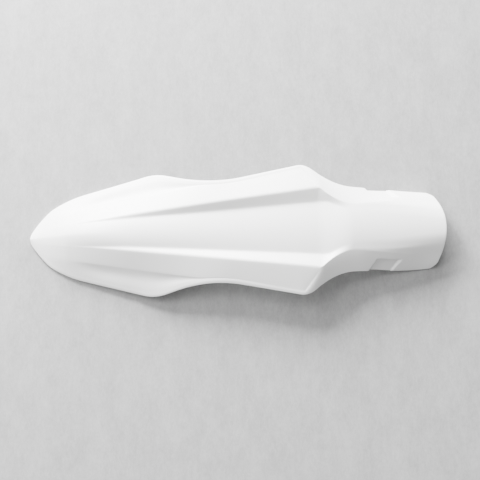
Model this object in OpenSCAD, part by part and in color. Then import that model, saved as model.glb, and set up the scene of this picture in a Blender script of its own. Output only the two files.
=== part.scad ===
// Motocross front fender: one moulded shell, open underneath.
// X runs from the nose (-X) to the tail (+X), Y is across, Z is up.
// The origin is on the plane that the rim stands on, under the middle of the part.

/* [Plan] */
// overall length, nose to tail end
fender_l = 650; // [610:5:690]
// width over the front hips
front_hip_w = 194; // [182:1:204]
// width over the rear hips
rear_hip_w = 206; // [196:1:218]
// width of the tail at its end
tail_w = 123; // [112:1:132]
// width across the two ridges at the rear hips
ridge_w = 126; // [118:1:132]
// width over the creases of the tail top
tail_top_w = 70; // [62:1:76]
// radius of the nose in plan
nose_r = 38; // [30:1:46]

/* [Height] */
// rise of the rim between the front hips and the tail
arch_h = 29; // [22:1:34]
// rise of the rim from the nose to the front hips
nose_lift = 6; // [0:0.5:8]
// height of the ridges at the middle of the fender
crest_h = 46; // [42:1:52]
// height of the tail top at its end
tail_h = 28; // [24:1:34]
// depth of the channels beside the centre panel
channel_d = 7.8; // [5:0.2:9]
// crown of the centre panel
crown_h = 4; // [3:0.5:7]
// dent of the long crease in each side fin
crease_d = 3; // [1:0.25:4]

/* [Wall] */
// thickness of the moulded wall
wall_t = 3; // [2.6:0.1:3.6]
// height of the rim's outer edge
edge_h = 2.2; // [1.8:0.1:2.6]
// round of the rim's outer corner
edge_r = 0.8; // [0.4:0.1:1]

/* [Clip seats] */
// length of each clip seat in the tail walls
seat_l = 34; // [30:1:40]
// depth of a clip seat below the wall
seat_d = 3.2; // [2.2:0.1:3.6]
// slant of the two ends of a clip seat
seat_slant = 10; // [4:1:14]

/* [Hidden] */
k = fender_l / 650;
// stations along the fender, measured from the nose
front_hip_x = 197 * k;
waist_x = 283 * k;
rear_hip_x = 433 * k;
neck_x = 479 * k;
seat_x = 552 * k;
// half widths at those stations, at the corners of the straight guide lines
front_hip_y = front_hip_w / 2 + 2.8;
rear_hip_y = rear_hip_w / 2 + 2;
waist_y = 0.189 * (front_hip_w + rear_hip_w);
neck_y = tail_w / 2 + 8.3;
// guide lines: x, value and the half length of the soft bend there
rim_line = [
    [0, 0.231 * front_hip_y, 0],
    [55 * k, 0.616 * front_hip_y, 30 * k],
    [front_hip_x, front_hip_y, 18 * k],
    [waist_x, waist_y, 52 * k],
    [rear_hip_x, rear_hip_y, 12 * k],
    [neck_x, neck_y, 28 * k],
    [fender_l, tail_w / 2, 0],
];
ridge_end = 454 * k;
crest_line = [
    [0, 0.15 * ridge_w / 2, 0],
    [ridge_end, ridge_w / 2, 3 * k],
    [487 * k, tail_top_w / 2, 26 * k],
    [586 * k, tail_top_w / 2, 30 * k],
    [fender_l, 0.83 * tail_top_w / 2, 0],
];
valley_line = [
    [0, 0.2 * ridge_w / 2, 0],
    [466 * k, 0.67 * ridge_w / 2, 8 * k],
    [500 * k, 0.72 * tail_top_w / 2, 26 * k],
    [570 * k, 0.68 * tail_top_w / 2, 30 * k],
    [fender_l, 0.49 * tail_top_w / 2, 0],
];
knee_slope = 0.175 / k;
rim_rise = [
    [0, 0, 0],
    [28 * k, 0, 16 * k],
    [184 * k, nose_lift, 24 * k],
    [264 * k, arch_h, 45 * k],
    [485 * k, 1.02 * arch_h, 40 * k],
    [593 * k, 0, 30 * k],
    [fender_l, 0, 0],
];
crest_rise = [
    [0, 4, 0],
    [100 * k, 0.7 * crest_h, 80 * k],
    [340 * k, crest_h, 120 * k],
    [478 * k, 0.985 * crest_h, 60 * k],
    [fender_l, tail_h, 0],
];

function total(v, i = 0) = i < len(v) ? v[i] + total(v, i + 1) : 0;
function mix(a, b, t) = a + (b - a) * t;
function ease(a, b, x) = let (t = min(max((x - a) / (b - a), 0), 1)) t * t * (3 - 2 * t);
function softmin(a, b, r) = (a + b - sqrt((a - b) * (a - b) + r * r)) / 2;
function unit(v) = v / norm(v);
// one bend of a guide line: flat before it, a straight ramp after it
function bend(t, d) = t <= -d ? 0 : t >= d ? t : (t + d) * (t + d) / (4 * d);
function rate(p, i) = (p[i + 1][1] - p[i][1]) / (p[i + 1][0] - p[i][0]);
function along(p, x) = p[0][1] + rate(p, 0) * (x - p[0][0])
    + total([for (i = [1:len(p) - 2]) (rate(p, i) - rate(p, i - 1)) * bend(x - p[i][0], p[i][2])]);

// the nose closes every line in a round
function tip(x) = let (t = min(x / (nose_r * k), 1)) sqrt(1 - (1 - t) * (1 - t));
function rim_y(x) = along(rim_line, x) * tip(x);
function crest_y(x) = along(crest_line, x) * tip(x);
function valley_y(x) = min(along(valley_line, x), 0.97 * along(crest_line, x)) * tip(x);
// how far the corner between the tail's top and its wall is rounded away towards the end
function tail_soft(x) = ease(505 * k, 635 * k, x);
// the shoulder line runs beside the rim, then cuts in at the rear hips to make their rear crease
function cut_in(x) = rear_hip_y - 10.5 - 1.27 / k * (x - 430 * k);
function round_off(x) = mix(2.5, 12, tail_soft(x));
function shoulder_y(x) = min(rim_y(x) - 5.5 * tip(x), max(crest_y(x) + round_off(x) * tip(x), cut_in(x)));
function knee_y(x) = let (c = crest_y(x), s = shoulder_y(x))
    softmin((27.3 + knee_slope * x) * tip(x), mix(c, s, 0.94), 3 * tip(x));

function rim_z(x) = along(rim_rise, x);
function crest_z(x) = along(crest_rise, x);
// how far the ridges, and the creases of the fins, have come up out of the plain nose
function ridge_on(x) = ease(80 * k, 350 * k, x) * (1 - ease(448 * k, 505 * k, x));
function fin_on(x) = ease(60 * k, 125 * k, x) * (1 - ease(300 * k, 400 * k, x));
function shaped(x) = ease(50 * k, 165 * k, x);
function middle_z(x) = crest_z(x) - channel_d * ridge_on(x) + mix(1.6, 1, shaped(x)) * crown_h * min(x / (60 * k), 1);
// the plain crowned nose that the guide heights grow out of
function plain_z(x, y) = mix(rim_z(x) + edge_h, middle_z(x), 1 - pow(min(y / rim_y(x), 1), 1.5));
function over_rim(x, y) = let (r = rim_y(x), c = crest_y(x))
    mix(rim_z(x) + edge_h, crest_z(x), (r - y) / (r - c));
// on the tail the crown of the top runs on to the crest
function valley_z(x) = crest_z(x) - channel_d * ridge_on(x)
    + crown_h * ease(448 * k, 505 * k, x) * (1 - pow(valley_y(x) / crest_y(x), 2));
// behind the hips the fin keeps the fall that it has at their widest point
hip_fall = (crest_z(430 * k) - rim_z(430 * k) - edge_h) / (rim_y(430 * k) - crest_y(430 * k));
function shoulder_z(x) = let (y = shoulder_y(x), c = crest_y(x))
    mix(over_rim(x, y), crest_z(x) - hip_fall * (y - c), ease(424 * k, 436 * k, x) * (1 - tail_soft(x)));
function knee_z(x) = let (y = knee_y(x), c = crest_y(x), s = shoulder_y(x))
    mix(crest_z(x), shoulder_z(x), (y - c) / (s - c)) - 0.4 * crease_d * fin_on(x) * min(1, (s - y) / 18);
function settled(x, y, z) = [y, mix(plain_z(x, y), z, shaped(x))];

// half of the outer section at x, from the middle to the rim's upper edge
function guides(x) = [
    [0, middle_z(x)],
    settled(x, valley_y(x), valley_z(x)),
    settled(x, crest_y(x), crest_z(x) - 1.5 * tail_soft(x)),
    settled(x, knee_y(x), knee_z(x)),
    settled(x, shoulder_y(x), shoulder_z(x)),
    [rim_y(x), rim_z(x) + edge_h],
];
steps = [5, 2, 4, 4, 4];
bulge = [0, 0, 0.1, 0, 0.12];
// outside its crease a fin falls steeply first and then flares out
function cove(x) = 0.75 * crease_d * fin_on(x) * min(1, (shoulder_y(x) - knee_y(x)) / 25);
function swell(x, g, t) = g == 0
    ? (guides(x)[0][1] - guides(x)[1][1]) * (t - pow(t, mix(1.5, 2, shaped(x))))
    : bulge[g] * 4 * t * (1 - t) * min(8, rim_y(x) - shoulder_y(x))
        - (g == 3 ? cove(x) * 5.65 * t * pow(1 - t, 1.6) : 0);
function half(x) = let (p = guides(x)) [
    for (g = [0:4]) for (s = [0:steps[g] - 1]) let (t = s / steps[g])
        [mix(p[g][0], p[g + 1][0], t), mix(p[g][1], p[g + 1][1], t) + swell(x, g, t)],
    p[5],
];
// the tail end is bowed, with its two corners rounded off
function pull(s) = 17.8 * s * s + 8 * pow(max(0, s - 0.84) / 0.16, 2);
function ending(x, s) = x - k * pull(s) * pow(max(0, x - 560 * k) / (90 * k), 2);
function outer(x) = let (r = rim_y(x)) [for (p = half(x)) [ending(x, p[0] / r), p[0], p[1]]];

nose_x = [for (a = [6, 14, 23, 32, 42, 53, 65, 78]) nose_r * k * (1 - cos(a))];
stations = concat(
    nose_x,
    [for (i = [0:25]) (40 + i * 14) * k],
    [for (i = [0:16]) (402 + i * 6) * k],
    [for (i = [1:13]) (498 + i * 152 / 13) * k]
);
last = len(stations) - 1;
skin = [for (x = stations) outer(x)];
edge = len(skin[0]) - 1;
turn = edge - steps[4];

// unit normal of the outer skin at station i and row j
function row(i, j) = j < 0 ? let (p = skin[i][-j]) [p[0], -p[1], p[2]] : skin[i][j];
function normal(i, j) = unit(cross(
    row(min(i + 1, last), j) - row(max(i - 1, 0), j),
    row(i, min(j + 1, edge)) - row(i, j - 1)));
// the foot of the rim: a flat band, one wall wide, square to the outline in plan
function inward(i) = let (d = skin[min(i + 1, last)][edge] - skin[max(i - 1, 0)][edge]) unit([d[1], -d[0], 0]);
function foot(i, d, z) = let (p = skin[i][edge] + inward(i) * d) [p[0], max(p[1], 0.4), rim_z(stations[i]) + z];
// the lining stays one wall behind the skin, and behind the point of the nose
function under(i, j) = let (p = skin[i][j] - wall_t * normal(i, j))
    [max(p[0], 0.8 * wall_t), p[1], max(p[2], rim_z(stations[i]) + 0.3)];
function lining(i) = let (b = foot(i, 0.9 * wall_t, 0), a = under(i, turn)) [
    for (j = [0:turn - 1]) under(i, j),
    for (s = [0:steps[4] - 1]) mix(a, b, s / steps[4]),
    b,
];
function flip(v) = [for (p = v) [p[0], -p[1], p[2]]];
function reversed(v) = [for (i = [len(v) - 1:-1:0]) v[i]];
function tail_of(v) = [for (i = [1:len(v) - 1]) v[i]];
// one closed ring: outer skin, rim, lining, rim
function ring(i) = let (o = skin[i], n = lining(i), f = [foot(i, 0.3 * edge_r, edge_r), foot(i, edge_r, 0)])
    concat(reversed(flip(tail_of(o))), o, f, reversed(n), flip(tail_of(n)), flip(reversed(f)));

module shell() {
    rings = [for (i = [0:last]) ring(i)];
    n = len(rings[0]);
    far = 2 * edge;
    function id(i, j) = i * n + (j % n);
    sides = [for (i = [0:last - 1]) for (j = [0:n - 1]) each [
        [id(i, j), id(i, j + 1), id(i + 1, j + 1)],
        [id(i, j), id(i + 1, j + 1), id(i + 1, j)],
    ]];
    // an end cap pairs the outer skin with the lining
    function pair(j) = far + 3 + far - j;
    function cap(i) = concat(
        [for (j = [0:far - 1]) each [
            [id(i, j), id(i, pair(j)), id(i, j + 1)],
            [id(i, j + 1), id(i, pair(j)), id(i, pair(j + 1))],
        ]],
        [
            [id(i, far), id(i, far + 3), id(i, far + 1)],
            [id(i, far + 1), id(i, far + 3), id(i, far + 2)],
            [id(i, 0), id(i, n - 1), id(i, pair(0))],
            [id(i, n - 1), id(i, n - 2), id(i, pair(0))],
        ]);
    function turned(f) = [for (t = f) [t[0], t[2], t[1]]];
    polyhedron([for (r = rings) each r], concat(sides, cap(0), turned(cap(last))), convexity = 8);
}

// place of a clip seat on the tail's side wall: length along X, width down the wall, height outward
function wall_at(x, t) = let (g = guides(x)) concat([x], mix(g[4], g[5], t));
seat_c = wall_at(seat_x, 0.7);
seat_u = unit(wall_at(seat_x + 20 * k, 0.7) - wall_at(seat_x - 20 * k, 0.7));
seat_n = unit(cross(seat_u, wall_at(seat_x, 1) - wall_at(seat_x, 0.4)));
seat_v = cross(seat_n, seat_u);
seat_top = norm(wall_at(seat_x, 0.7) - wall_at(seat_x, 0.4));
seat_foot = norm(wall_at(seat_x, 1) - wall_at(seat_x, 0.7));
rim_fall = atan((rim_z(seat_x - 15 * k) - rim_z(seat_x + 15 * k)) / (30 * k));

module on_wall() {
    multmatrix([for (i = [0:2]) [seat_u[i], seat_v[i], seat_n[i], seat_c[i]]]) children();
}

// a slanted outline that runs on past the rim
module seat_outline(grow, past) {
    lean = seat_slant / (seat_top + seat_foot);
    a = -seat_top - grow;
    b = seat_foot + past;
    h = seat_l / 2 + grow;
    polygon([[-h - a * lean, a], [h - a * lean, a], [h - b * lean, b], [-h - b * lean, b]]);
}

// the wall keeps its thickness behind the seat
module seat_back() {
    difference() {
        on_wall() translate([0, 0, -seat_d - wall_t]) linear_extrude(seat_d + wall_t - 1.2) seat_outline(4.5, -0.8);
        translate([seat_x, 0, rim_z(seat_x) + 0.2]) rotate([0, rim_fall, 0])
            translate([-60, 0, -40]) cube([120, 120, 40]);
    }
}

module seat_cut() {
    on_wall() translate([0, 0, -seat_d]) linear_extrude(seat_d + 5, scale = [1.35, 1.2]) seat_outline(0, 12);
}

module both() {
    children();
    mirror([0, 1, 0]) children();
}

module fender() {
    color("white") translate([-(fender_l + nose_x[0]) / 2, 0, 0]) difference() {
        union() {
            shell();
            both() seat_back();
        }
        both() seat_cut();
    }
}

fender();
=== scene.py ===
import math

import bpy
import numpy as np
from mathutils import Matrix, Vector


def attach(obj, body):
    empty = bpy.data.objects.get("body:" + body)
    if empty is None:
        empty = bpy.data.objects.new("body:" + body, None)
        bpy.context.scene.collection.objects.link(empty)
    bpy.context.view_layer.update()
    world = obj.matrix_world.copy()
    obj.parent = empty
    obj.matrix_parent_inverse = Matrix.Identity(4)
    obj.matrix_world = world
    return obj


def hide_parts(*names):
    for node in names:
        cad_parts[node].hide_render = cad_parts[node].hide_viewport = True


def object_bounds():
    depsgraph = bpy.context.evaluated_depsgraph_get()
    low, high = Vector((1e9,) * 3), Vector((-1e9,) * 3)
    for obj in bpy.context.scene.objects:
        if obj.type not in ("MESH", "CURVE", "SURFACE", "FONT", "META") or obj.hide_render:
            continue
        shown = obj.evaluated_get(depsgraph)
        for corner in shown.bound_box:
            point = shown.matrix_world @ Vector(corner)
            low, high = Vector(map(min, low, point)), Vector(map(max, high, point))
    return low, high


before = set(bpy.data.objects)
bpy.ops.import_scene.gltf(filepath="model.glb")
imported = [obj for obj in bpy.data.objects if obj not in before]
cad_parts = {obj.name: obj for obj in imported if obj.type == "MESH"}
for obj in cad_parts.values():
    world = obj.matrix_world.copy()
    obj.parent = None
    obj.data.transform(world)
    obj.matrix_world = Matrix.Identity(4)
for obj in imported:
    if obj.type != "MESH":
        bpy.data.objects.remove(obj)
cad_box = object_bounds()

# sizes in mm, as in the part's source
LENGTH = 650.0
FRONT_HIP_W = 194.0
REAR_HIP_W = 206.0
TAIL_W = 123.0
RIDGE_W = 126.0
TAIL_TOP_W = 70.0
NOSE_R = 38.0
ARCH_H = 29.0
NOSE_LIFT = 6.0
CREST_H = 46.0
TAIL_H = 28.0
CHANNEL_D = 7.8
CROWN_H = 4.0
CREASE_D = 3.0
WALL = 3.0
EDGE_H = 2.2
EDGE_R = 0.8
SEAT_L = 34.0
SEAT_D = 3.2
SEAT_SLANT = 10.0

# half widths at the corners of the rim's guide line
FRONT_HIP_Y = FRONT_HIP_W / 2 + 2.8
REAR_HIP_Y = REAR_HIP_W / 2 + 2.0
WAIST_Y = 0.189 * (FRONT_HIP_W + REAR_HIP_W)
NECK_Y = TAIL_W / 2 + 8.3

# guide lines: station, value and half length of the soft bend there
RIM_LINE = [
    (0, 0.231 * FRONT_HIP_Y, 0),
    (55, 0.616 * FRONT_HIP_Y, 30),
    (197, FRONT_HIP_Y, 18),
    (283, WAIST_Y, 52),
    (433, REAR_HIP_Y, 12),
    (479, NECK_Y, 28),
    (LENGTH, TAIL_W / 2, 0),
]
CREST_LINE = [
    (0, 0.15 * RIDGE_W / 2, 0),
    (454, RIDGE_W / 2, 3),
    (487, TAIL_TOP_W / 2, 26),
    (586, TAIL_TOP_W / 2, 30),
    (LENGTH, 0.83 * TAIL_TOP_W / 2, 0),
]
VALLEY_LINE = [
    (0, 0.2 * RIDGE_W / 2, 0),
    (466, 0.67 * RIDGE_W / 2, 8),
    (500, 0.72 * TAIL_TOP_W / 2, 26),
    (570, 0.68 * TAIL_TOP_W / 2, 30),
    (LENGTH, 0.49 * TAIL_TOP_W / 2, 0),
]
RIM_RISE = [
    (0, 0, 0),
    (28, 0, 16),
    (184, NOSE_LIFT, 24),
    (264, ARCH_H, 45),
    (485, 1.02 * ARCH_H, 40),
    (593, 0, 30),
    (LENGTH, 0, 0),
]
CREST_RISE = [
    (0, 4, 0),
    (100, 0.7 * CREST_H, 80),
    (340, CREST_H, 120),
    (478, 0.985 * CREST_H, 60),
    (LENGTH, TAIL_H, 0),
]

# stations between which a form comes up or dies away
SHAPED = (50, 165)
RIDGES_START, RIDGES_END = (80, 350), (448, 505)
FINS_START, FINS_END = (60, 125), (300, 400)
TAIL_SOFTENS = (505, 635)
HIP_FALL_STARTS = (424, 436)

# the widest point of the rear hips, and the crease that cuts in behind it
HIP_X = 430.0
REAR_CREASE_INSET = 10.5
REAR_CREASE_SLOPE = 1.27
# the long crease of a fin: half width at the nose, and what it gains along X
FIN_CREASE_Y = 27.3
FIN_CREASE_SLOPE = 0.175

# the bow of the tail end, and its two rounded corners
BOW_START, BOW_RUN = 560, 90
BOW_PULL = 17.8
CORNER_PULL, CORNER_START = 8, 0.84

# the stations: by angle round the nose, then in runs of an even step, close where a form is small
NOSE_ANGLES = [6, 10, 14, 18, 23, 28, 33, 38, 44, 50, 56, 62, 68, 74, 80, 86]
STATION_RUNS = [
    (38.5, 410, 2.9),
    (410, 506, 1.6),
    (506, 528, 2.4),
    (528, 582, 1.05),
    (582, 646, 3.2),
]
END_STATIONS = [646.5, 648, 649.1, 649.5, 649.8, 650]
NOSE_START = NOSE_R * (1 - math.cos(math.radians(NOSE_ANGLES[0])))

# rows of points between the guides, and in the round at each guide
SPAN_ROWS = [10, 3, 7, 13, 24]
ROUND_ROWS = [0, 4, 5, 3, 5]
# rows crowd towards the inner guide where a crisp crease starts there
ROW_CROWDING = [1, 1, 1, 1.6, 1]
# how far the skin swells between two guides, as a share of the room there
SWELL = [0, 0, 0.03, 0, 0.12]
SWELL_ROOM = 8
# the hollow outside a fin's crease: steep at first, then flaring out
FIN_SPAN = 3
COVE_DEPTH, COVE_FLARE = 7.84, 2.4

# the lining: how near it comes to the nose tip and the floor, and its rows' least spacing there
LINING_NOSE = 0.8 * WALL
LINING_FOOT = 0.3
LINING_ROW_GAP = 0.01
# the rim's foot: its width, and how near its inner edge comes to the middle at the nose
FOOT_W = 0.9 * WALL
FOOT_GAP = 0.4
EDGE_ANGLES = [30, 60, 90]
# the round on the tail's end edge
END_ROUND_L = 1.0
END_ROUND_D = 0.8

# a clip seat: its station, and its middle and upper edge as shares of the way down the wall
SEAT_X = 552.0
SEAT_MIDDLE, SEAT_UPPER = 0.7, 0.4
# how far the backs of the seats reach past the seats on the inside
SEAT_BACK_MARGIN = 4.5
# length, width and height of the region that a seat can move
SEAT_REGION = (60, 40, 9)


def mix(a, b, t):
    return a + (b - a) * t


def ease(a, b, x):
    t = np.clip((x - a) / (b - a), 0, 1)
    return t * t * (3 - 2 * t)


def softmin(a, b, r):
    return (a + b - np.sqrt((a - b) ** 2 + r * r)) / 2


def unit(v):
    return v / np.maximum(np.linalg.norm(v, axis=-1, keepdims=True), 1e-9)


def along(line, x):
    """The value of a guide line at x: straight runs with a soft bend at each corner."""
    rate = [(q[1] - p[1]) / (q[0] - p[0]) for p, q in zip(line, line[1:])]
    y = line[0][1] + rate[0] * (x - line[0][0])
    for i in range(1, len(line) - 1):
        t, d = x - line[i][0], max(line[i][2], 1e-6)
        ramp = np.where(t <= -d, 0, np.where(t >= d, t, (t + d) ** 2 / (4 * d)))
        y = y + (rate[i] - rate[i - 1]) * ramp
    return y


def tip(x):
    """The nose closes every line in a round."""
    t = np.minimum(x / NOSE_R, 1)
    return np.sqrt(1 - (1 - t) ** 2)


def rim_y(x):
    return along(RIM_LINE, x) * tip(x)


def crest_y(x):
    return along(CREST_LINE, x) * tip(x)


def valley_y(x):
    return np.minimum(along(VALLEY_LINE, x), 0.97 * along(CREST_LINE, x)) * tip(x)


def tail_soft(x):
    """How far the corner between the tail's top and its wall is rounded away."""
    return ease(*TAIL_SOFTENS, x)


def shoulder_y(x):
    """The shoulder runs beside the rim, then cuts in at the rear hips."""
    cut_in = REAR_HIP_Y - REAR_CREASE_INSET - REAR_CREASE_SLOPE * (x - HIP_X)
    beside = crest_y(x) + mix(2.5, 12, tail_soft(x)) * tip(x)
    return np.minimum(rim_y(x) - 5.5 * tip(x), np.maximum(beside, cut_in))


def knee_y(x):
    c, s = crest_y(x), shoulder_y(x)
    crease = (FIN_CREASE_Y + FIN_CREASE_SLOPE * x) * tip(x)
    return softmin(crease, mix(c, s, 0.94), 3 * tip(x))


def rim_z(x):
    return along(RIM_RISE, x)


def crest_z(x):
    return along(CREST_RISE, x)


def ridge_on(x):
    return ease(*RIDGES_START, x) * (1 - ease(*RIDGES_END, x))


def fin_on(x):
    return ease(*FINS_START, x) * (1 - ease(*FINS_END, x))


def shaped(x):
    """How far the forms have come up out of the plain nose."""
    return ease(*SHAPED, x)


def middle_z(x):
    crown = mix(1.6, 1, shaped(x)) * CROWN_H * np.minimum(x / 60, 1)
    return crest_z(x) - CHANNEL_D * ridge_on(x) + crown


def valley_z(x):
    """The foot of the channel; on the tail the crown of the top runs on to the crest."""
    on_crown = 1 - (valley_y(x) / crest_y(x)) ** 2
    return crest_z(x) - CHANNEL_D * ridge_on(x) + CROWN_H * ease(*RIDGES_END, x) * on_crown


def plain_z(x, y):
    """The plain crowned nose that the forms grow out of."""
    inward = 1 - np.minimum(y / rim_y(x), 1) ** 1.5
    return mix(rim_z(x) + EDGE_H, middle_z(x), inward)


def shoulder_z(x):
    """Behind the hips a fin keeps the fall that it has at their widest point."""
    y, c, r = shoulder_y(x), crest_y(x), rim_y(x)
    over_rim = mix(rim_z(x) + EDGE_H, crest_z(x), (r - y) / (r - c))
    hip = np.array(HIP_X)
    fall = (crest_z(hip) - rim_z(hip) - EDGE_H) / (rim_y(hip) - crest_y(hip))
    kept = ease(*HIP_FALL_STARTS, x) * (1 - tail_soft(x))
    return mix(over_rim, crest_z(x) - fall * (y - c), kept)


def knee_z(x):
    y, c, s = knee_y(x), crest_y(x), shoulder_y(x)
    dent = 0.4 * CREASE_D * fin_on(x) * np.minimum(1, (s - y) / 18)
    return mix(crest_z(x), shoulder_z(x), (y - c) / (s - c)) - dent


def guide_points(x):
    """Half a section at each station: middle, valley, crest, knee, shoulder and rim."""

    def settled(y, z):
        return np.stack([x, y, mix(plain_z(x, y), z, shaped(x))], -1)

    return np.stack(
        [
            np.stack([x, 0 * x, middle_z(x)], -1),
            settled(valley_y(x), valley_z(x)),
            settled(crest_y(x), crest_z(x) - 1.5 * tail_soft(x)),
            settled(knee_y(x), knee_z(x)),
            settled(shoulder_y(x), shoulder_z(x)),
            np.stack([x, rim_y(x), rim_z(x) + EDGE_H], -1),
        ],
        1,
    )


def tail_bow(x, s):
    """The tail end is bowed, with its two corners rounded off."""
    corner = CORNER_PULL * (np.maximum(0, s - CORNER_START) / (1 - CORNER_START)) ** 2
    pull = BOW_PULL * s * s + corner
    return x - pull * (np.maximum(0, x - BOW_START) / BOW_RUN) ** 2


def stations():
    nose = NOSE_R * (1 - np.cos(np.radians(NOSE_ANGLES)))
    return np.concatenate([nose] + [np.arange(*run) for run in STATION_RUNS] + [END_STATIONS])


def half_section(x, guides, radii):
    """Points of half a section at each station, with a round of its own size at each guide."""
    room = np.minimum(SWELL_ROOM, guides[:, 5, 1] - guides[:, 4, 1])
    rise = guides[:, 0, 2] - guides[:, 1, 2]
    power = mix(1.5, 2, shaped(x))
    fin_width = guides[:, 4, 1] - guides[:, 3, 1]
    cove = 0.75 * CREASE_D * fin_on(x) * np.minimum(1, fin_width / 25)

    def span(g, t):
        p = mix(guides[:, g], guides[:, g + 1], t[:, None])
        width = np.minimum(room, 0.4 * (guides[:, g + 1, 1] - guides[:, g, 1]))
        lift = rise * (t - t**power) if g == 0 else SWELL[g] * 4 * t * (1 - t) * width
        if g == FIN_SPAN:
            lift = lift - cove * COVE_DEPTH * t * (1 - t) ** COVE_FLARE
        p[:, 2] += lift
        return p

    size = np.linalg.norm(np.diff(guides[:, :, 1:], axis=1), axis=-1)
    start, stop = np.zeros((len(x), 5)), np.ones((len(x), 5))
    for g in range(1, 5):
        r = np.minimum(radii[:, g], 0.45 * np.minimum(size[:, g - 1], size[:, g]))
        stop[:, g - 1] = 1 - r / size[:, g - 1]
        start[:, g] = r / size[:, g]
    rows = []
    for g in range(5):
        if g > 0:
            a, b, c = span(g - 1, stop[:, g - 1]), span(g, start[:, g]), guides[:, g]
            for i in range(1, ROUND_ROWS[g]):
                s = i / ROUND_ROWS[g]
                rows.append((1 - s) ** 2 * a + 2 * s * (1 - s) * c + s * s * b)
        count = SPAN_ROWS[g] + (0 if g == 4 else 1)
        steps = (np.arange(count) / SPAN_ROWS[g]) ** ROW_CROWDING[g]
        rows += [span(g, mix(start[:, g], stop[:, g], t)) for t in steps]
    return np.stack(rows, 1)


def corner_radii(x):
    """How far each round reaches from its guide: crisp ridges, softer towards the tail end."""
    valley = mix(2.5 + 0 * x, 5.0, tail_soft(x))
    crest = mix(mix(3.0, 1.8, ease(470, 500, x)), 6.0, ease(565, 640, x))
    knee = mix(3.0, 0.8, ease(55, 105, x) * (1 - ease(*FINS_END, x)))
    shoulder = mix(mix(3.0, 1.6, ease(380, 430, x)), 10.0, ease(560, 645, x))
    return np.stack([0 * x, valley, crest, knee, shoulder], -1)


def guide_normals(x, guides):
    """Unit normals at the guides, from the lines along and across the skin."""
    step = 4.0
    ahead = guide_points(np.minimum(x + step, LENGTH))
    behind = guide_points(np.maximum(x - step, NOSE_START))
    run = unit(ahead - behind)
    mirrored = guides[:, 1:2] * np.array([1, -1, 1])
    wide = np.concatenate([mirrored, guides, guides[:, 5:6] * 2 - guides[:, 4:5]], 1)
    legs = unit(np.diff(wide, axis=1))
    return unit(np.cross(run, legs[:, :-1] + legs[:, 1:]))


def wall_at(x, t):
    """The point of the side wall at x, with t from 0 at the shoulder to 1 at the rim."""
    g = guide_points(np.array([x]))[0]
    return mix(g[4], g[5], t)


# a clip seat's place: SEAT_U along the wall, SEAT_V down it and SEAT_N outward
SEAT_C = wall_at(SEAT_X, SEAT_MIDDLE)
SEAT_U = unit(wall_at(SEAT_X + 20, SEAT_MIDDLE) - wall_at(SEAT_X - 20, SEAT_MIDDLE))
SEAT_N = unit(np.cross(SEAT_U, wall_at(SEAT_X, 1) - wall_at(SEAT_X, SEAT_UPPER)))
SEAT_V = np.cross(SEAT_N, SEAT_U)
SEAT_TOP = np.linalg.norm(SEAT_C - wall_at(SEAT_X, SEAT_UPPER))
SEAT_FOOT = np.linalg.norm(wall_at(SEAT_X, 1) - SEAT_C)


def sunk(points, foot_z, grow, depth, end_ramp, top_ramp, soft):
    """Points of the wall, let down to a seat's floor or its back with sloping ends."""
    lean = SEAT_SLANT / (SEAT_TOP + SEAT_FOOT)
    d = points - SEAT_C
    a, b, h = d @ SEAT_U, d @ SEAT_V, d @ SEAT_N
    ends = (np.abs(a + b * lean) - (SEAT_L / 2 + grow)) / end_ramp * depth
    upper = (-b - (SEAT_TOP + grow)) / top_ramp * depth
    floor = -depth + np.maximum(0, -softmin(-ends, -upper, soft))
    target = softmin(h, floor, soft)
    target = np.where(h < floor - 2 * soft, h, target)
    near = np.logical_and.reduce([np.abs(v) < size for v, size in zip((a, b, h), SEAT_REGION)])
    moved = points + SEAT_N * np.where(near, np.minimum(target - h, 0), 0)[..., None]
    # what would pass the foot of the rim slides up the slope instead
    short = np.maximum(0, foot_z + 0.2 - moved[..., 2]) * near * (target < h - 0.05)
    return moved - SEAT_V * (short / -SEAT_V[2])[..., None]


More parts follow.
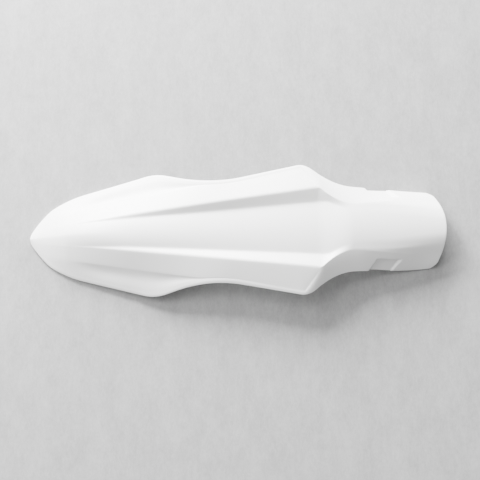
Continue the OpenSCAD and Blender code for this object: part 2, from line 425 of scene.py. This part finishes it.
def fender_skin():
    """Rows of points on half of the outer skin, and under each the point of the lining."""
    x = stations()
    foot_z = rim_z(x)
    guides = guide_points(x)
    radii = corner_radii(x)
    skin = half_section(x, guides, radii)
    under = guides - WALL * guide_normals(x, guides)
    lining = half_section(x, under, radii)
    row_gaps = LINING_ROW_GAP * np.arange(lining.shape[1])
    lining[:, :, 0] = np.maximum(lining[:, :, 0], LINING_NOSE)
    lining[:, :, 1] = np.maximum(lining[:, :, 1], row_gaps)
    lining[:, :, 2] = np.maximum(lining[:, :, 2], foot_z[:, None] + LINING_FOOT)
    share = skin[:, :, 1] / rim_y(x)[:, None]
    shift = tail_bow(x[:, None], share) - x[:, None]
    skin[:, :, 0] += shift
    lining[:, :, 0] += shift
    # the rim: a small round down to the flat foot, one wall wide
    edge = skin[:, -1]
    run = np.gradient(edge[:, :2], axis=0)
    inward = unit(np.stack([run[:, 1], -run[:, 0], 0 * x], -1))
    foot = edge + FOOT_W * inward
    foot[:, 2] = foot_z
    foot[:, 1] = np.maximum(foot[:, 1], FOOT_GAP)
    rounds = []
    for angle in np.radians(EDGE_ANGLES):
        p = edge + inward * EDGE_R * (1 - math.cos(angle))
        p[:, 2] = foot_z + EDGE_R * (1 - math.sin(angle))
        rounds.append(p)
    skin = np.concatenate([skin] + [r[:, None] for r in rounds], 1)
    first = skin.shape[1] - len(rounds) - SPAN_ROWS[4]
    t = np.linspace(0, 1, skin.shape[1] - first)[None, :, None]
    down = mix(lining[:, first : first + 1], foot[:, None], t)
    lining = np.concatenate([lining[:, :first], down], 1)
    # the seats, cut into the skin and backed on the lining
    z = foot_z[:, None]
    skin = sunk(skin, z, 0, SEAT_D, end_ramp=2.3, top_ramp=1.4, soft=0.2)
    lining = sunk(lining, z, SEAT_BACK_MARGIN, SEAT_D + WALL, end_ramp=1.4, top_ramp=1.4, soft=0.4)
    # the tail's end edge, eased over by a small round
    into_end = np.clip((x - (LENGTH - END_ROUND_L)) / END_ROUND_L, 0, 1)
    eased = END_ROUND_D * (1 - np.sqrt(np.maximum(0, 1 - into_end**2)))
    skin = skin + unit(lining - skin) * eased[:, None, None]
    skin[:, :, 2] = np.minimum(skin[:, :, 2], cad_box[1][2] * 1000)
    return skin, lining


def skin_sheet():
    """The outer skin as one sheet, from rim to rim over the top, and closed at the nose."""
    skin, lining = fender_skin()
    flip, to_middle = np.array([1, -1, 1]), np.array([1, 0, 1])
    whole = np.concatenate([skin[:, :0:-1] * flip, skin], 1)
    below = np.concatenate([lining[:, :0:-1] * flip, lining], 1)
    n, m = whole.shape[:2]
    half = m // 2
    ids = np.arange(n * m).reshape(n, m)
    quads = np.stack([ids[:-1, :-1], ids[1:, :-1], ids[1:, 1:], ids[:-1, 1:]], -1)
    faces = quads.reshape(-1, 4).tolist()
    # the small front face of the nose, on either side of a line of points on the middle plane
    points = np.concatenate([whole.reshape(-1, 3), skin[0, 1:] * to_middle])
    backs = np.concatenate([below.reshape(-1, 3), lining[0, 1:] * to_middle])
    line = [half] + [n * m + i for i in range(half)]
    faces += [(half, half + 1, line[1]), (half, line[1], half - 1)]
    for i in range(1, half):
        faces.append((line[i], half + i, half + i + 1, line[i + 1]))
        faces.append((half - i, line[i], line[i + 1], half - i - 1))
    centre = np.array([(LENGTH + NOSE_START) / 2, 0, 0])
    mesh = bpy.data.meshes.new("fender_skin")
    mesh.from_pydata(((points - centre) / 1000).tolist(), [], faces)
    drop = mesh.attributes.new("to_lining", "FLOAT_VECTOR", "POINT")
    drop.data.foreach_set("vector", ((backs - points) / WALL).reshape(-1))
    mesh.update()
    return mesh


class Nodes:
    """Places nodes in a tree and links them."""

    def __init__(self, tree):
        self.tree = tree
        self.count = 0

    def add(self, kind, settings=None, **inputs):
        node = self.tree.nodes.new(kind)
        node.location = (220 * (self.count % 8), -260 * (self.count // 8))
        self.count += 1
        for key, value in (settings or {}).items():
            setattr(node, key, value)
        for name, value in inputs.items():
            self.feed(node, name.replace("_", " "), value)
        return node

    def feed(self, node, name, value):
        """Links an output to the node's input of that name or number, or sets the input."""
        socket = node.inputs[name] if isinstance(name, int) else self.named(node, name)
        if isinstance(value, bpy.types.NodeSocket):
            self.tree.links.new(value, socket)
        else:
            socket.default_value = value

    @staticmethod
    def named(node, name):
        return next(s for s in node.inputs if s.name.lower() == name.lower() and s.enabled)


def add_sockets(tree, way, kind, *names):
    for name in names:
        tree.interface.new_socket(name, in_out=way, socket_type=kind)


def moulded_wall_tree():
    """Gives a skin sheet its wall: the sheet, its lining and the edge between them."""
    tree = bpy.data.node_groups.new("moulded_wall", "GeometryNodeTree")
    add_sockets(tree, "INPUT", "NodeSocketGeometry", "Skin")
    add_sockets(tree, "INPUT", "NodeSocketFloat", "Wall thickness", "Seam distance")
    add_sockets(tree, "INPUT", "NodeSocketMaterial", "Plastic")
    add_sockets(tree, "OUTPUT", "NodeSocketGeometry", "Shell")
    n = Nodes(tree)
    given = n.add("NodeGroupInput").outputs
    drop = n.add(
        "GeometryNodeInputNamedAttribute", {"data_type": "FLOAT_VECTOR"}, Name="to_lining"
    )
    depth = n.add("ShaderNodeVectorMath", {"operation": "SCALE"}, Scale=given["Wall thickness"])
    n.feed(depth, 0, drop.outputs["Attribute"])
    lift = n.add(
        "GeometryNodeExtrudeMesh",
        {"mode": "FACES"},
        Mesh=given["Skin"],
        Offset_Scale=0.0,
        Individual=False,
    )
    placed = n.add(
        "GeometryNodeSetPosition",
        Geometry=lift.outputs["Mesh"],
        Selection=lift.outputs["Top"],
        Offset=depth.outputs["Vector"],
    )
    turned = n.add("GeometryNodeFlipFaces", Mesh=placed.outputs["Geometry"])
    whole = n.add("GeometryNodeJoinGeometry", Geometry=turned.outputs["Mesh"])
    n.feed(whole, "Geometry", given["Skin"])
    sewn = n.add(
        "GeometryNodeMergeByDistance",
        Geometry=whole.outputs["Geometry"],
        Distance=given["Seam distance"],
    )
    real = n.add("GeometryNodeRealizeInstances", Geometry=sewn.outputs["Geometry"])
    dressed = n.add(
        "GeometryNodeSetMaterial", Geometry=real.outputs["Geometry"], Material=given["Plastic"]
    )
    n.add("NodeGroupOutput", Shell=dressed.outputs["Geometry"])
    return tree


def set_inputs(modifier, **values):
    for item in modifier.node_group.interface.items_tree:
        key = item.name.lower().replace(" ", "_")
        if item.in_out == "INPUT" and key in values:
            modifier[item.identifier] = values[key]


def plain_mesh(obj, name):
    """The evaluated object as a mesh with no modifiers left."""
    bpy.context.view_layer.update()
    graph = bpy.context.evaluated_depsgraph_get()
    mesh = bpy.data.meshes.new_from_object(obj.evaluated_get(graph))
    mesh.name = name
    obj.modifiers.clear()
    obj.data = mesh
    return mesh


def fine_grain_group():
    """Shared surface unevenness: a height, a slow tone mask and a mottled roughness."""
    tree = bpy.data.node_groups.new("fine_grain", "ShaderNodeTree")
    add_sockets(tree, "INPUT", "NodeSocketVector", "Vector", "Stretch")
    add_sockets(tree, "INPUT", "NodeSocketFloat", "Grain scale", "Cloud scale", "Cloud break-up")
    add_sockets(tree, "INPUT", "NodeSocketFloat", "Tone low", "Tone high")
    add_sockets(tree, "INPUT", "NodeSocketFloat", "Roughness low", "Roughness high")
    add_sockets(tree, "OUTPUT", "NodeSocketFloat", "Height", "Tone", "Roughness")
    n = Nodes(tree)
    given = n.add("NodeGroupInput").outputs
    drawn = n.add("ShaderNodeVectorMath", {"operation": "MULTIPLY"})
    n.feed(drawn, 0, given["Vector"])
    n.feed(drawn, 1, given["Stretch"])
    vector = drawn.outputs["Vector"]
    fine = n.add("ShaderNodeTexNoise", Vector=vector, Scale=given["Grain scale"], Detail=4.0)
    cloud = n.add(
        "ShaderNodeTexNoise",
        Vector=vector,
        Scale=given["Cloud scale"],
        Detail=5.0,
        Roughness=given["Cloud break-up"],
    )
    tone = n.add(
        "ShaderNodeMapRange",
        Value=cloud.outputs["Fac"],
        From_Min=0.3,
        From_Max=0.7,
        To_Min=given["Tone low"],
        To_Max=given["Tone high"],
    )
    both = n.add("ShaderNodeMath", {"operation": "ADD"})
    n.feed(both, 0, cloud.outputs["Fac"])
    n.feed(both, 1, fine.outputs["Fac"])
    rough = n.add(
        "ShaderNodeMapRange",
        Value=both.outputs["Value"],
        From_Min=0.6,
        From_Max=1.4,
        To_Min=given["Roughness low"],
        To_Max=given["Roughness high"],
    )
    n.add(
        "NodeGroupOutput",
        Height=fine.outputs["Fac"],
        Tone=tone.outputs["Result"],
        Roughness=rough.outputs["Result"],
    )
    return tree


# the inputs of a material's mix of two colours, by number
MIX_FACTOR, MIX_FIRST, MIX_SECOND, MIXED = 0, 6, 7, 2


def grained_material(name, group, colour, shade, values, relief, settings):
    """A material whose tone, roughness and fine height come from the shared grain.

    shade is how dark the darker patches are, as a share of the colour; relief is the
    strength and the height in metres of the grain; settings go to the shader itself.
    """
    material = bpy.data.materials.new(name)
    material.use_nodes = True
    tree = material.node_tree
    tree.nodes.clear()
    n = Nodes(tree)
    place = n.add("ShaderNodeTexCoord")
    grain = n.add("ShaderNodeGroup", {"node_tree": group}, Vector=place.outputs["Object"])
    for key, value in values.items():
        grain.inputs[key].default_value = value
    tone = n.add("ShaderNodeMix", {"data_type": "RGBA", "blend_type": "MIX"})
    n.feed(tone, MIX_FACTOR, grain.outputs["Tone"])
    n.feed(tone, MIX_FIRST, (*[c * shade for c in colour], 1))
    n.feed(tone, MIX_SECOND, (*colour, 1))
    strength, distance = relief
    bump = n.add(
        "ShaderNodeBump", Strength=strength, Distance=distance, Height=grain.outputs["Height"]
    )
    shader = n.add(
        "ShaderNodeBsdfPrincipled",
        Base_Color=tone.outputs[MIXED],
        Roughness=grain.outputs["Roughness"],
        Normal=bump.outputs["Normal"],
    )
    for key, value in settings.items():
        shader.inputs[key].default_value = value
    n.add("ShaderNodeOutputMaterial", Surface=shader.outputs["BSDF"])
    return material


# the camera, at the photo's angle
TARGET = Vector((0.0046, -0.01257, 0.020))
ELEVATION = math.radians(77.04)
TURN = math.radians(-1.32)
DISTANCE = 1.762
LENS = 85.0
SENSOR = 36.0


def aim_camera():
    data = bpy.data.cameras.new("camera")
    data.lens = LENS
    data.sensor_width = SENSOR
    camera = bpy.data.objects.new("camera", data)
    bpy.context.scene.collection.objects.link(camera)
    look = Vector((0, math.cos(ELEVATION), -math.sin(ELEVATION)))
    side = Vector((1, 0, 0))
    up = side.cross(look)
    right = side * math.cos(TURN) + up * math.sin(TURN)
    above = -side * math.sin(TURN) + up * math.cos(TURN)
    turn = Matrix((right, above, -look)).transposed().to_4x4()
    camera.matrix_world = Matrix.Translation(TARGET - look * DISTANCE) @ turn
    bpy.context.scene.camera = camera


aim_camera()

grain_group = fine_grain_group()
white_plastic = grained_material(
    "white_plastic",
    grain_group,
    colour=(0.87, 0.87, 0.865),
    shade=0.93,
    values={
        "Stretch": (1, 1, 1),
        "Grain scale": 900.0,
        "Cloud scale": 14.0,
        "Cloud break-up": 0.5,
        "Tone low": 0.8,
        "Tone high": 1.0,
        "Roughness low": 0.40,
        "Roughness high": 0.52,
    },
    relief=(0.12, 0.0002),
    settings={"IOR": 1.49},
)

fender = bpy.data.objects.new("fender_shell", skin_sheet())
bpy.context.scene.collection.objects.link(fender)
wall = fender.modifiers.new("moulded_wall", "NODES")
wall.node_group = moulded_wall_tree()
set_inputs(wall, wall_thickness=WALL / 1000, seam_distance=1e-6, plastic=white_plastic)
shell = plain_mesh(fender, "fender_shell")
spent = shell.attributes.get("to_lining")
if spent:
    shell.attributes.remove(spent)
shell.shade_smooth()
shell.set_sharp_from_angle(angle=math.radians(38))
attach(fender, "root")
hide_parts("fender")

pale_floor = grained_material(
    "pale_floor",
    grain_group,
    colour=(0.345, 0.345, 0.345),
    shade=0.68,
    values={
        "Stretch": (1, 0.45, 1),
        "Grain scale": 160.0,
        "Cloud scale": 24.0,
        "Cloud break-up": 1.0,
        "Tone low": 0.0,
        "Tone high": 1.0,
        "Roughness low": 0.80,
        "Roughness high": 0.95,
    },
    relief=(0.2, 0.001),
    settings={},
)
FLOOR = 4.0
corners = [(-FLOOR, -FLOOR, 0), (FLOOR, -FLOOR, 0), (FLOOR, FLOOR, 0), (-FLOOR, FLOOR, 0)]
floor_mesh = bpy.data.meshes.new("floor")
floor_mesh.from_pydata(corners, [], [(0, 1, 2, 3)])
floor_mesh.materials.append(pale_floor)
floor = bpy.data.objects.new("floor", floor_mesh)
bpy.context.scene.collection.objects.link(floor)

# softboxes: azimuth and height in degrees, distance and size in metres, power in watts
SOFTBOXES = {
    "near_softbox": (120, 23, 1.9, 0.68, 150.0),
    "far_softbox": (112, 23, 3.0, 1.08, 310.0),
    "low_softbox": (90, 14, 3.0, 1.08, 337.0),
    "nose_softbox": (158, 38, 2.2, 1.2, 44.0),
    "fill_softbox": (194, 24, 2.2, 1.2, 24.0),
    "high_softbox": (90, 65, 2.2, 0.7, 10.0),
}


def soft_light(name, azimuth, height, distance, size, power):
    """A square softbox that looks at the middle of the scene."""
    data = bpy.data.lights.new(name, "AREA")
    data.shape = "SQUARE"
    data.size = size
    data.energy = power
    lamp = bpy.data.objects.new(name, data)
    turn, lift = math.radians(azimuth), math.radians(height)
    level = math.cos(lift)
    toward = Vector((math.cos(turn) * level, math.sin(turn) * level, math.sin(lift)))
    lamp.location = toward * distance
    lamp.rotation_euler = (-toward).to_track_quat("-Z", "Y").to_euler()
    lamp.visible_camera = False
    bpy.context.scene.collection.objects.link(lamp)


for name, values in SOFTBOXES.items():
    soft_light(name, *values)

world = bpy.data.worlds.new("studio")
bpy.context.scene.world = world
world.use_nodes = True
background = world.node_tree.nodes["Background"]
background.inputs["Color"].default_value = (1, 1, 1, 1)
background.inputs["Strength"].default_value = 0.5
